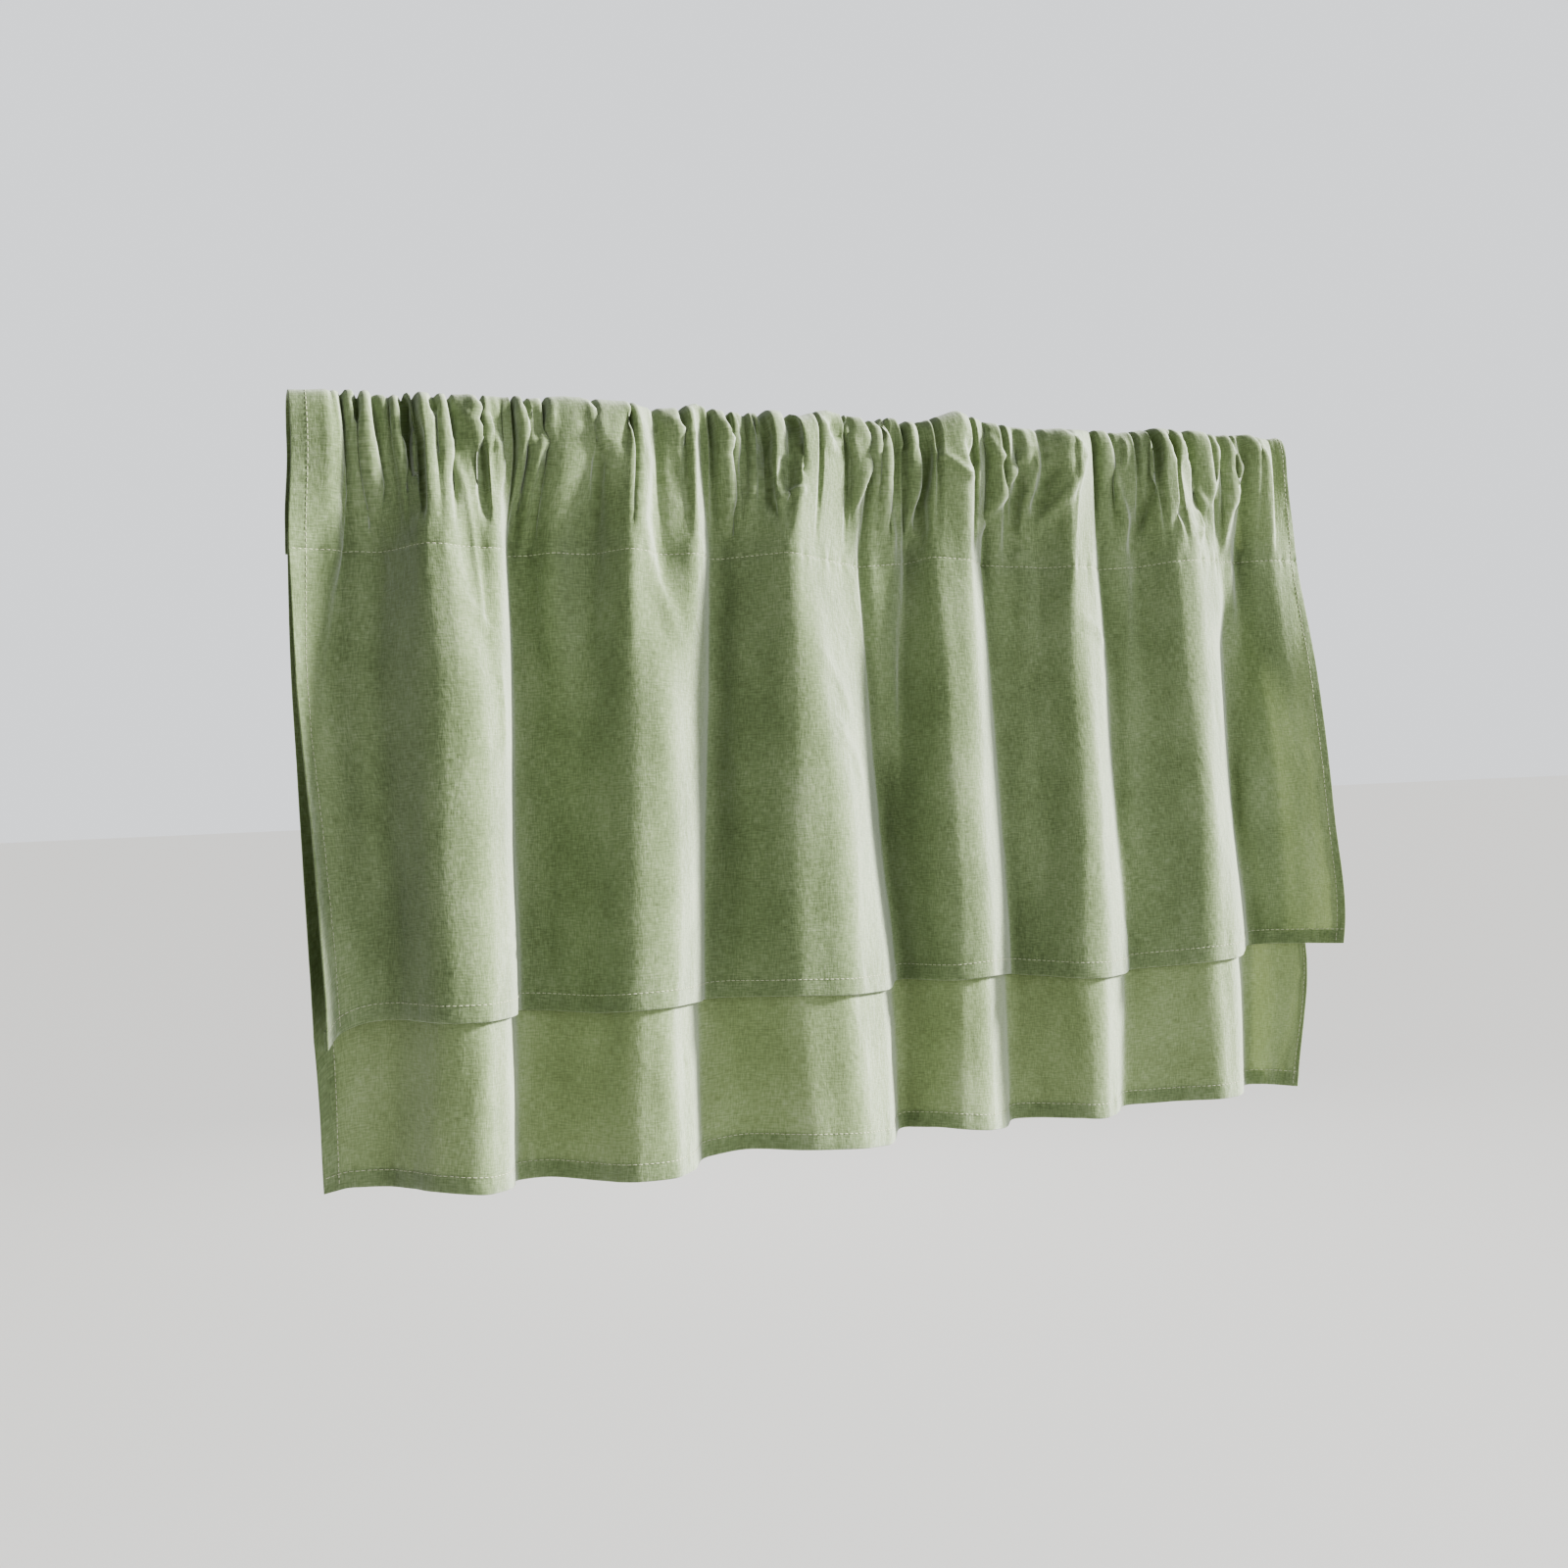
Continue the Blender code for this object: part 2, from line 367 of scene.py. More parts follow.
# Fold lines along the front tier's hem: flat, x, y, z
FRONT_HEM = (
    (0, -319, -38, -364),
    (8, -313, -29, -357),
    (18, -305, -25, -354),
    (32, -296, -23, -352),
    (52, -282, -28, -351),
    (96, -260, -58, -352),
    (120, -236, -61, -353),
    (154, -216, -36, -354),
    (196, -206, 10, -356),
    (222, -187, 0, -357),
    (247, -170, -18, -358),
    (275, -154, -42, -356),
    (303, -126, -40, -356),
    (347, -100, -8, -358),
    (358, -96, 3, -358),
    (372, -84, -3, -357),
    (415, -51, -34, -356),
    (453, -14, -37, -358),
    (505, 26, -4, -361),
    (530, 38, 20, -357),
    (572, 56, -9, -357),
    (584, 66, -17, -357),
    (606, 87, -18, -356),
    (636, 110, 2, -358),
    (648, 116, 11, -359),
    (672, 129, -3, -360),
    (708, 146, -27, -361),
    (726, 166, -28, -362),
    (758, 193, -7, -363),
    (768, 197, -2, -361),
    (800, 222, -16, -359),
    (830, 245, -29, -357),
    (864, 274, -19, -357),
    (908, 306, 22, -354),
    (922, 314, 12, -353),
    (950, 335, -2, -353),
    (1000, 353, -21, -353),
)

# Fold lines along the back tier's hem: flat, x, y, z
BACK_HEM = (
    (0, -321, 6, -450),
    (14, -309, 3, -447),
    (40, -289, 1, -448),
    (96, -262, -32, -448),
    (122, -238, -42, -451),
    (152, -219, -20, -453),
    (184, -214, 8, -455),
    (222, -194, 4, -454),
    (247, -173, -15, -455),
    (275, -157, -38, -454),
    (306, -128, -36, -455),
    (342, -109, -15, -456),
    (358, -103, 0, -453),
    (390, -75, -4, -449),
    (417, -47, -29, -449),
    (460, -8, -31, -452),
    (505, 22, -6, -457),
    (533, 35, 20, -452),
    (572, 55, -5, -450),
    (584, 64, -12, -451),
    (606, 84, -13, -454),
    (636, 106, 3, -457),
    (648, 111, 9, -453),
    (668, 126, 5, -453),
    (708, 154, -18, -453),
    (723, 166, -18, -454),
    (748, 182, -8, -454),
    (766, 190, 3, -451),
    (805, 226, -5, -451),
    (832, 253, -20, -450),
    (866, 276, -9, -451),
    (908, 300, 23, -451),
    (926, 309, 13, -450),
    (1000, 328, 2, -452),
)
LEVELS = (STITCH_ROW, UPPER_FOLDS, LOWER_FOLDS, FRONT_HEM, BACK_HEM)
HEADING_BEND = 3.6  # cloth taken up by half a bend
BENDS = (6.0, 10.0, 12.0, 11.0, 11.0)
LEVEL_HEIGHTS = np.array([-POCKET_DEPTH, -170.0, -262.0, -FRONT_DROP, -BACK_DROP])

GROOVE_LEFT = 0.3  # how much of a groove's depth is left over the back tier
GROOVE_FADES = 25.0
TAPER = 0.3  # share of a pleat's length over which each end dies away
TAPER_START = 0.35
# Pleats and dents of the front: height, reach to the left, reach to the right, then places (x, z) along them
PLEATS = (
    (2.6, 5.0, 2.0, (-299, -6), (-299, -39), (-297, -58), (-302, -92), (-306, -118)),
    (3.0, 7.0, 2.6, (-284, -6), (-283, -28), (-279, -50), (-273, -72), (-272, -112)),
    (-3.0, 2.0, 2.0, (-289, -4), (-288, -12), (-288, -22)),
    (2.6, 4.0, 1.8, (-268, -3), (-266, -14), (-266, -28), (-261, -50), (-259, -74)),
    (-4.0, 2.4, 2.4, (-262, -4), (-263, -16), (-263, -30)),
    (-4.5, 4.0, 3.0, (-256, -20), (-257, -50), (-258, -84)),
    (-3.5, 2.0, 2.0, (-247, -3), (-246, -9), (-245, -15)),
    (3.0, 5.0, 2.2, (-241, -6), (-240, -27), (-232, -51), (-228, -88), (-227, -150)),
    (3.2, 4.0, 1.6, (-229, -10), (-219, -27), (-212, -32)),
    (3.0, 3.0, 1.8, (-225, -3), (-217, -15), (-211, -29), (-211, -42)),
    (-2.8, 4.0, 4.0, (-224, -30), (-222, -52), (-219, -84)),
    (2.6, 3.0, 2.0, (-205, -5), (-206, -26), (-209, -58)),
    (2.8, 3.0, 1.7, (-197, -6), (-193, -26), (-189, -30)),
    (2.8, 3.0, 2.0, (-177, -4), (-179, -19), (-187, -33), (-192, -55), (-196, -100)),
    (-3.0, 3.0, 3.0, (-191, -5), (-188, -16), (-187, -26)),
    (3.0, 5.0, 2.0, (-159, -3), (-152, -20), (-144, -31)),
    (-3.6, 5.0, 4.5, (-150, -27), (-154, -48), (-155, -90), (-157, -130)),
    (-3.4, 4.0, 3.0, (-139, -34), (-136, -20), (-131, -8)),
    (2.6, 6.0, 5.0, (-129, -8), (-125, -38), (-130, -72), (-122, -110), (-104, -160)),
    (3.0, 5.0, 1.8, (-108, -10), (-100, -19), (-92, -22)),
    (-2.4, 6.0, 6.0, (-108, -30), (-101, -60), (-103, -96)),
    (3.0, 3.0, 1.6, (-75, -10), (-71, -22), (-68, -30)),
    (3.4, 5.0, 2.0, (-64, -6), (-66, -26), (-69, -47), (-73, -82)),
    (-2.6, 2.4, 2.4, (-70, -4), (-68, -14), (-67, -22)),
    (3.0, 4.0, 2.0, (-54, -6), (-54, -28), (-56, -52), (-59, -78)),
    (-5.0, 2.6, 3.0, (-49, -14), (-51, -32), (-50, -58), (-44, -80)),
    (-5.0, 1.6, 2.6, (-31, -5), (-29, -22), (-27, -48)),
    (3.2, 2.0, 3.0, (-46, -60), (-38, -56), (-26, -52)),
    (-2.8, 4.0, 4.0, (-46, -50), (-40, -42), (-36, -30)),
    (3.0, 5.0, 1.8, (-11, -8), (-8, -20), (3, -28)),
    (-3.0, 4.0, 4.0, (-4, -8), (-1, -14), (4, -20)),
    (3.0, 3.0, 1.6, (7, -8), (11, -22), (12, -30)),
    (4.0, 4.0, 1.8, (18, -8), (23, -26), (17, -44), (10, -68)),
    (2.6, 2.4, 1.6, (29, -8), (27, -24), (24, -34)),
    (3.6, 6.0, 2.4, (38, -6), (34, -24), (33, -42), (41, -75), (42, -108)),
    (-3.4, 1.6, 1.6, (33, -5), (31, -14), (30, -24)),
    (2.6, 1.6, 1.4, (44, -6), (43, -16), (42, -28)),
    (2.6, 1.6, 1.4, (49, -6), (49, -16), (49, -28)),
    (3.4, 3.0, 2.0, (54, -6), (56, -22), (54, -36), (53, -58), (52, -84)),
    (-4.5, 2.0, 3.0, (58, -18), (58, -34), (57, -56), (62, -92)),
    (3.6, 3.0, 1.8, (64, -26), (72, -30), (92, -44)),
    (-3.4, 4.0, 3.0, (84, -16), (90, -26), (94, -36)),
    (3.0, 4.0, 1.6, (103, -12), (108, -22), (113, -32)),
    (3.4, 5.0, 2.4, (134, -20), (121, -36), (109, -58), (98, -80)),
    (3.8, 3.0, 3.0, (135, -20), (135, -34), (130, -54), (129, -70), (133, -82)),
    (3.4, 4.0, 4.0, (170, -22), (158, -46), (141, -68), (133, -82)),
    (-3.4, 6.0, 5.0, (122, -46), (122, -66), (121, -100)),
    (-2.8, 4.0, 4.0, (146, -32), (139, -50), (135, -66)),
    (3.0, 5.0, 1.8, (158, -12), (166, -22), (173, -27)),
    (3.4, 4.0, 2.6, (192, -8), (194, -28), (199, -48), (206, -64), (208, -88)),
    (2.4, 2.4, 2.0, (203, -12), (204, -22), (202, -34)),
    (-4.6, 6.0, 3.4, (222, -8), (221, -28), (216, -56), (210, -92)),
    (-4.0, 3.0, 2.4, (233, -8), (236, -18), (236, -26)),
    (3.4, 5.0, 2.0, (240, -6), (245, -24), (257, -46), (270, -60)),
    (-2.6, 5.0, 5.0, (244, -56), (236, -66), (233, -84)),
    (2.4, 3.0, 2.6, (256, -56), (262, -68), (256, -80)),
    (3.0, 4.0, 1.6, (275, -10), (273, -28), (269, -54)),
    (3.4, 4.0, 2.0, (286, -8), (292, -28), (286, -56), (285, -92)),
    (3.0, 6.0, 2.4, (303, -8), (312, -24), (316, -53), (321, -90)),
    (3.6, 9.0, 8.0, (-286, -34), (-285, -60), (-289, -94), (-293, -150), (-293, -310)),
    (3.8, 9.0, 9.0, (-172, -24), (-177, -54), (-180, -92), (-181, -170)),
    (3.4, 9.0, 9.0, (-62, -46), (-66, -70), (-68, -100), (-70, -300)),
    (3.8, 9.0, 9.0, (110, -44), (116, -70), (124, -96), (130, -140), (127, -310)),
    (3.8, 8.0, 9.0, (201, -34), (205, -62), (206, -96), (204, -310)),
    (-3.4, 7.0, 5.0, (148, -60), (150, -84), (151, -120)),
    (3.4, 8.0, 8.0, (283, -30), (281, -60), (279, -96), (279, -150)),
    (-3.4, 1.5, 2.0, (-228, -318), (-218, -322), (-208, -321)),
    (-3.0, 1.5, 2.0, (-226, -308), (-217, -311), (-209, -310)),
    (1.2, 2.5, 2.0, (-218, -158), (-217, -185), (-219, -214)),
    (1.3, 3.0, 2.5, (-238, -120), (-228, -134), (-214, -146)),
    (0.8, 4.0, 3.0, (-22, -150), (-6, -170), (6, -196)),
    (0.7, 4.0, 3.0, (-10, -196), (4, -214), (12, -240)),
    (1.3, 2.5, 2.0, (133, -84), (130, -88), (127, -92)),
    (1.2, 3.0, 2.5, (160, -130), (176, -136), (190, -150)),
)


def folded(table, bend, flat):
    """A table's columns along the cloth: straight between fold lines, with a round bend at each of them."""
    places, *columns = np.array(table, dtype=float).T
    values = np.stack(columns, axis=-1)
    result = np.stack([np.interp(flat, places, column) for column in columns], axis=-1)
    widths = np.diff(places)
    for k in range(1, len(places) - 1):
        reach = min(bend, 0.48 * widths[k - 1], 0.48 * widths[k])
        near = np.abs(flat - places[k]) < reach
        share = (flat[near, None] - places[k] + reach) / (2 * reach)
        before = values[k] + (values[k - 1] - values[k]) * reach / widths[k - 1]
        after = values[k] + (values[k + 1] - values[k]) * reach / widths[k]
        result[near] = (1 - share) ** 2 * before + 2 * share * (1 - share) * values[k] + share**2 * after
    return result


def slots():
    """Flat place, height of the ridges and depth of each slot of the top edge."""
    x = np.array(HEADING, dtype=float)[:, 1]
    across = np.array(HEADING, dtype=float)[:, 0]
    ridge_x, ridge_height, slot_x, slot_height = np.array(GATHERS, dtype=float).T
    ridges = np.interp(ridge_x, x, across), ridge_height
    level = np.interp(slot_x, ridge_x, ridge_height)
    return ridges, (np.interp(slot_x, x, across), level - slot_height)


def top_line(flat):
    """The ridges' height at each flat place, and how far the slots drop below it."""
    (ridge_flat, ridge_height), (slot_flat, slot_depth) = slots()
    share = np.clip(np.abs(flat[:, None] - slot_flat[None, :]) / SLOT, 0.0, 1.0)
    drop = ((1.0 - share**2) ** 1.5 * slot_depth[None, :]).max(axis=1)
    return np.interp(flat, ridge_flat, ridge_height), drop


def clear_of(row, front, distance):
    """A row moved square to its own cloth by a distance, then back to where it clears the front row by it."""
    along = np.gradient(row[:, :2], axis=0)
    along /= np.linalg.norm(along, axis=1)[:, None]
    across = row[:, 0] - distance * along[:, 1]
    for k in range(1, len(across)):
        across[k] = max(across[k], across[k - 1] + LEAST_STEP)
    places = np.arange(0, len(front) - 1 + SAMPLE, SAMPLE)
    line_x = np.interp(places, np.arange(len(front)), front[:, 0])
    line_y = np.interp(places, np.arange(len(front)), front[:, 1])
    sideways = across[:, None] - line_x[None, :]
    lift = np.sqrt(np.maximum(distance**2 - sideways**2, 0.0))
    depth = np.where(np.abs(sideways) < distance, line_y[None, :] + lift, -np.inf)
    own = row[:, 1] + distance * along[:, 0]
    return np.column_stack([across, np.maximum(own, depth.max(axis=1)), row[:, 2]])


def blend(start, end, share, bow):
    """Part of the way from one row to another. With `bow` the cloth leaves and arrives upright."""
    eased = share * share * (3.0 - 2.0 * share) if bow else share
    row = start + (end - start) * eased
    row[:, 2] = start[:, 2] + (end[:, 2] - start[:, 2]) * share
    return row


def over_rod(flat, angle):
    """The row at an angle round the rod, from 0 at the front over the top to 180 at the back."""
    x, y = folded(HEADING, HEADING_BEND, flat).T
    ridge, drop = top_line(flat)
    rise = ridge - OUTLINE_DIP * drop - ROD_CENTRE
    turn = math.radians(angle)
    upward = math.sin(turn)
    if angle <= 90:
        reach = np.maximum(-y - drop * (SLOT_LEFT + (1.0 - SLOT_LEFT) * upward), SLOT_REACH)
    else:
        reach = SNUG + BULGE * (rise - SNUG)
    sideways = math.copysign(abs(math.cos(turn)) ** 0.7, math.cos(turn))
    return np.stack([x, -reach * sideways, ROD_CENTRE + rise * upward**0.8], axis=-1)


def hung_row(flat, height):
    """The cloth below the row of stitches, on a smooth way down through the fold lines' levels."""
    k = int(np.clip(np.searchsorted(-LEVEL_HEIGHTS, -height, side="right") - 1, 0, len(LEVELS) - 2))
    levels = list(zip(LEVELS, BENDS))[max(0, k - 1) : k + 3]
    rows = [folded(table, bend, flat) for table, bend in levels]
    heights = LEVEL_HEIGHTS[max(0, k - 1) : k + 3]
    at = k - max(0, k - 1)
    span = heights[at + 1] - heights[at]
    run = [(rows[i + 1] - rows[i]) / (heights[i + 1] - heights[i]) for i in range(len(rows) - 1)]
    leave = run[at] if at == 0 else 0.5 * (run[at - 1] + run[at])
    arrive = run[at] if at + 1 == len(run) else 0.5 * (run[at] + run[at + 1])
    t = (height - heights[at]) / span
    return (
        rows[at] * (2 * t**3 - 3 * t**2 + 1)
        + leave * span * (t**3 - 2 * t**2 + t)
        + rows[at + 1] * (3 * t**2 - 2 * t**3)
        + arrive * span * (t**3 - t**2)
    )


def front_row(flat, height):
    """The front tier's row at a height, from the gathers past the stitches to the hem."""
    if height > -POCKET_DEPTH:
        share = (ROD_CENTRE - height) / (ROD_CENTRE + POCKET_DEPTH)
        return blend(over_rod(flat, 0), hung_row(flat, -POCKET_DEPTH), share, bow=True)
    return hung_row(flat, height)


def flap_row(flat, height):
    """The turned-over part's row at a height, from behind the rod down to the stitches."""
    face = front_row(flat, min(height, TUCK - POCKET_DEPTH))
    low = clear_of(face, face, FLAP_BEHIND)
    if height <= TUCK - POCKET_DEPTH:
        return low
    share = (ROD_CENTRE - height) / (ROD_CENTRE - TUCK + POCKET_DEPTH)
    return blend(over_rod(flat, 180), low, share, bow=True)


def back_row(flat, height):
    """The back tier's row at a height. The front tier holds it back, less and less below the front hem."""
    level = max(height, -FRONT_DROP)
    opened = min(1.0, max(0.0, (-POCKET_DEPTH - level) / OPENS_OVER))
    gap = TUCK_BEHIND + (BACK_BEHIND - TUCK_BEHIND) * opened
    front = front_row(flat, level)
    hung = front.copy()
    hung[:, 0] -= BACK_LEFT * opened * np.exp(-flat / EDGE_REACH)
    hung[:, 1] += BACK_CURL * opened * np.exp(-flat / CURL_REACH)
    hung[:, 0] -= BACK_RIGHT * opened * np.exp(-(FLAT_WIDTH - flat) / EDGE_REACH)
    held = clear_of(hung, front, gap)
    below = (level - height) / (BACK_DROP - FRONT_DROP)
    return front_row(flat, height) + (held - front) * (1.0 - below)


def steps(start, end, step):
    """Even values from start to end, both among them, at most a step apart."""
    return np.linspace(start, end, max(2, math.ceil(abs(end - start) / step) + 1))


def closer_at(values, places, least):
    """Rising values with the places among them, none closer together than the least distance."""
    merged = np.unique(np.concatenate([values, places[(places > values[0]) & (places < values[-1])]]))
    kept = [merged[0]]
    for value in merged[1:-1]:
        if value - kept[-1] >= least and merged[-1] - value >= least:
            kept.append(value)
    return np.array(kept + [merged[-1]])


def front_surface(flat):
    """Rows of the front tier from the turned-over edge behind, over the rod and down to the hem."""
    seam = -POCKET_DEPTH
    back = steps(seam - FLAP_BELOW, ROD_CENTRE, FLAP_STEP)[:-1]
    top = steps(180, 0, ROD_STEP)[:-1]
    pocket = steps(ROD_CENTRE, seam + SEAM_ROWS[0], POCKET_STEP)[:-1]
    skirt = steps(seam - SEAM_ROWS[0], -FRONT_DROP, FRONT_STEP)
    near = seam + np.array(SEAM_ROWS)
    rows = [flap_row(flat, height) for height in back] + [over_rod(flat, angle) for angle in top]
    face = np.concatenate([pocket, near, skirt])
    rows += [front_row(flat, height) for height in face]
    return np.array(rows), np.concatenate([np.full(len(back) + len(top), np.inf), face])


def back_surface(flat):
    """Rows of the back tier from its tucked-in top edge down to the hem."""
    heights = steps(TUCK - POCKET_DEPTH, -BACK_DROP, BACK_STEP)
    return np.array([back_row(flat, height) for height in heights]), heights


def unit(vectors):
    """The vectors at length 1."""
    return vectors / np.maximum(np.linalg.norm(vectors, axis=-1, keepdims=True), 1e-9)


def frame_of(points):
    """Unit vectors along the rows, down the columns and out of the front of a grid of points."""
    along = unit(np.gradient(points, axis=1))
    down = unit(np.gradient(points, axis=0))
    return along, down, unit(np.cross(along, -down))


LATTICE = 97  # cells of noise before it repeats


def noise(x, y, cell_x, cell_y, seed):
    """Smooth random waves between -1 and 1, as wide and as long as the cells."""
    lattice = np.random.default_rng(seed).uniform(-1.0, 1.0, (LATTICE, LATTICE))
    gx, gy = x / cell_x, y / cell_y
    ix, iy = np.floor(gx).astype(int), np.floor(gy).astype(int)
    fx, fy = gx - ix, gy - iy
    sx, sy = fx**3 * (fx * (fx * 6 - 15) + 10), fy**3 * (fy * (fy * 6 - 15) + 10)
    x0, x1, y0, y1 = ix % LATTICE, (ix + 1) % LATTICE, iy % LATTICE, (iy + 1) % LATTICE
    low = lattice[x0, y0] * (1 - sx) + lattice[x1, y0] * sx
    high = lattice[x0, y1] * (1 - sx) + lattice[x1, y1] * sx
    return low * (1 - sy) + high * sy


def creases(x, y, count, width, length, seed):
    """Short straight creases at random places and slants, each a thin ridge that tapers off at both ends."""
    random = np.random.default_rng(seed)
    result = np.zeros(np.broadcast(x, y).shape)
    for _ in range(count):
        middle_x = random.uniform(0.0, FLAT_WIDTH)
        middle_y = random.uniform(0.0, BACK_DROP)
        slant = random.choice((-1, 1)) * random.uniform(0.12, 1.05)
        half = random.uniform(0.4, 1.0) * length
        high = random.choice((-1, 1)) * random.uniform(0.5, 1.0)
        along = (x - middle_x) * math.sin(slant) + (y - middle_y) * math.cos(slant)
        off = (x - middle_x) * math.cos(slant) - (y - middle_y) * math.sin(slant)
        off = off - 0.15 * along * along / half
        result += high * np.exp(-((off / width) ** 2)) * np.clip(1.0 - (along / half) ** 2, 0.0, 1.0) ** 2
    return result


def near(distance, width):
    """1 on a line and 0 beyond the width on either side."""
    return np.clip(1.0 - np.abs(distance) / width, 0.0, 1.0) ** 2


def nearest_on(line, x, z):
    """How far each point is from a bent line, on which side and how far along it, and the line's length."""
    best = np.full(x.shape, np.inf)
    signed, along = np.zeros(x.shape), np.zeros(x.shape)
    so_far = np.concatenate([[0.0], np.cumsum(np.linalg.norm(np.diff(line, axis=0), axis=1))])
    for k, way in enumerate(np.diff(line, axis=0)):
        length = np.linalg.norm(way)
        run_x, run_z = x - line[k, 0], z - line[k, 1]
        share = np.clip((run_x * way[0] + run_z * way[1]) / length**2, 0.0, 1.0)
        off_x, off_z = run_x - share * way[0], run_z - share * way[1]
        distance = np.hypot(off_x, off_z)
        closer = distance < best
        best = np.where(closer, distance, best)
        signed = np.where(closer, off_x, signed)
        along = np.where(closer, so_far[k] + share * length, along)
    return best, signed, along, so_far[-1]


def pleats(points):
    """How far each point of the front stands out for the pleats and dents that run by it."""
    x, z = points[..., 0], points[..., 2]
    out = np.zeros(x.shape)
    for height, left, right, *places in PLEATS:
        best, signed, along, length = nearest_on(np.array(places, dtype=float), x, z)
        reach = np.where(signed < 0, left, right)
        end = TAPER * length
        taper = np.clip((length - along) / end, 0.0, 1.0) * np.clip(along / end + TAPER_START, 0.0, 1.0)
        out += height * np.exp(-((best / reach) ** 2)) * taper * taper * (3.0 - 2.0 * taper)
    shallower = np.clip((z + POCKET_DEPTH + FLAP_BELOW) / GROOVE_FADES, GROOVE_LEFT, 1.0)
    return np.where(out < 0, out * shallower, out)


WAVES = ((0.9, 30.0, 170.0), (0.2, 12.0, 40.0), (0.08, 6.5, 11.0))  # height, cell across, cell down
CREASE_COUNT = 90
CREASE_HEIGHT = 0.45
CREASE_WIDTH = 2.8
CREASE_LENGTH = 26.0
PUCKERS = (0.62, 13.0, 5.6, 34.0)  # height, reach from the seam, cell across, cell down
SIDE_PUCKERS = (0.5, 9.0, 30.0, 6.0)
SEAM_DENT = 0.5
SEAM_DENT_REACH = 1.7


def puckers(shape, off_seam, x, y, seed):
    """How far cloth stands out in the puckers along a seam."""
    height, reach, across, down = shape
    return height * near(off_seam, reach) * noise(x, y, across, down, seed)


def wrinkled(flat, drop, seams, seed):
    """How far cloth stands out that puckers along its seams and is a little crumpled all over."""
    x, y = flat[None, :], drop[:, None]
    out = 0.0
    for k, (height, across, down) in enumerate(WAVES):
        out = out + height * noise(x, y, across, down, seed + k)
    out = out + CREASE_HEIGHT * creases(x, y, CREASE_COUNT, CREASE_WIDTH, CREASE_LENGTH, seed + 3)
    for seam in seams:
        out = out + puckers(PUCKERS, y - seam, x, y, seed + 4)
        out = out - SEAM_DENT * near(y - seam, SEAM_DENT_REACH)
    return out + puckers(SIDE_PUCKERS, np.minimum(x, FLAT_WIDTH - x) - SEAM, x, y, seed + 5)


HEM_STEP = 2.5
HEM_TURNS = (150, 90, 30)  # degrees round the turned edge


def hem_steps(width):
    """Where a hem's columns or rows lie: inwards from the edge, behind the cloth and out past the edge."""
    inner = steps(width, 0.0, HEM_STEP)
    turn = np.radians(HEM_TURNS)
    half = 0.5 * HEM_GAP
    inwards = np.concatenate([inner, np.zeros(len(turn))])
    behind = np.concatenate([np.full(len(inner), HEM_GAP), half - half * np.cos(turn)])
    out = np.concatenate([np.zeros(len(inner)), half * np.sin(turn)])
    return inwards, behind, out


def read_grid(grid, rows, columns):
    """A grid's values at fractional rows and columns, which broadcast together."""
    rows, columns = np.broadcast_arrays(rows, columns)
    r0 = np.clip(np.floor(rows).astype(int), 0, grid.shape[0] - 2)
    c0 = np.clip(np.floor(columns).astype(int), 0, grid.shape[1] - 2)
    fr, fc = (rows - r0)[..., None], (columns - c0)[..., None]
    top = grid[r0, c0] * (1 - fc) + grid[r0, c0 + 1] * fc
    low = grid[r0 + 1, c0] * (1 - fc) + grid[r0 + 1, c0 + 1] * fc
    return top * (1 - fr) + low * fr


def hemmed(points, flat, length):
    """A grid of cloth with its side edges and its bottom edge turned to the back."""
    along, down, face = frame_of(points)
    inwards, behind, out = hem_steps(HEM)
    nothing = np.zeros(len(flat))
    at_u = np.concatenate([inwards, flat, FLAT_WIDTH - inwards[::-1]])
    behind_u = np.concatenate([behind, nothing, behind[::-1]])
    out_u = np.concatenate([-out, nothing, out[::-1]])
    still = np.zeros(len(length))
    at_v = np.concatenate([length, length[-1] - inwards[::-1]])
    behind_v = np.concatenate([still, behind[::-1]])
    out_v = np.concatenate([still, out[::-1]])
    columns = np.interp(at_u, flat, np.arange(len(flat)))[None, :]
    rows = np.interp(at_v, length, np.arange(len(length)))[:, None]
    depth = behind_u[None, :, None] + behind_v[:, None, None]
    result = read_grid(points, rows, columns) - read_grid(face, rows, columns) * depth
    result += read_grid(along, rows, columns) * out_u[None, :, None]
    result += read_grid(down, rows, columns) * out_v[:, None, None]
    paper_u = at_u.copy()
    paper_u[: len(inwards)] *= -1
    paper_u[-len(inwards):] = 2 * FLAT_WIDTH - paper_u[-len(inwards):]
    paper_v = at_v.copy()
    paper_v[len(length):] = 2 * length[-1] - paper_v[len(length):]
    return result, paper_u, paper_v


def cloth_mesh(name, points, across, down, material):
    """A grid of points in millimetres as a smooth mesh, with the flat cloth as its UV map, in metres."""
    rows, columns = points.shape[:2]
    mesh = bpy.data.meshes.new(name)
    index = np.arange(rows * columns).reshape(rows, columns)
    quads = np.stack([index[1:, :-1], index[1:, 1:], index[:-1, 1:], index[:-1, :-1]], axis=-1).reshape(-1, 4)
    mesh.from_pydata((points.reshape(-1, 3) * MM).tolist(), [], quads.tolist())
    layer = mesh.uv_layers.new(name="cloth")
    place = np.stack(np.broadcast_arrays(across[None, :], down[:, None]), axis=-1).reshape(-1, 2) * MM
    layer.data.foreach_set("uv", place[quads.reshape(-1)].astype(np.float32).reshape(-1))
    mesh.shade_smooth()
    mesh.materials.append(material)
    piece = bpy.data.objects.new(name, mesh)
    bpy.context.scene.collection.objects.link(piece)
    return piece


def lengths(points):
    """How far down the cloth each row of a grid lies, on average over its columns."""
    rungs = np.linalg.norm(np.diff(points, axis=0), axis=2).mean(axis=1)
    return np.concatenate([[0.0], np.cumsum(rungs)])


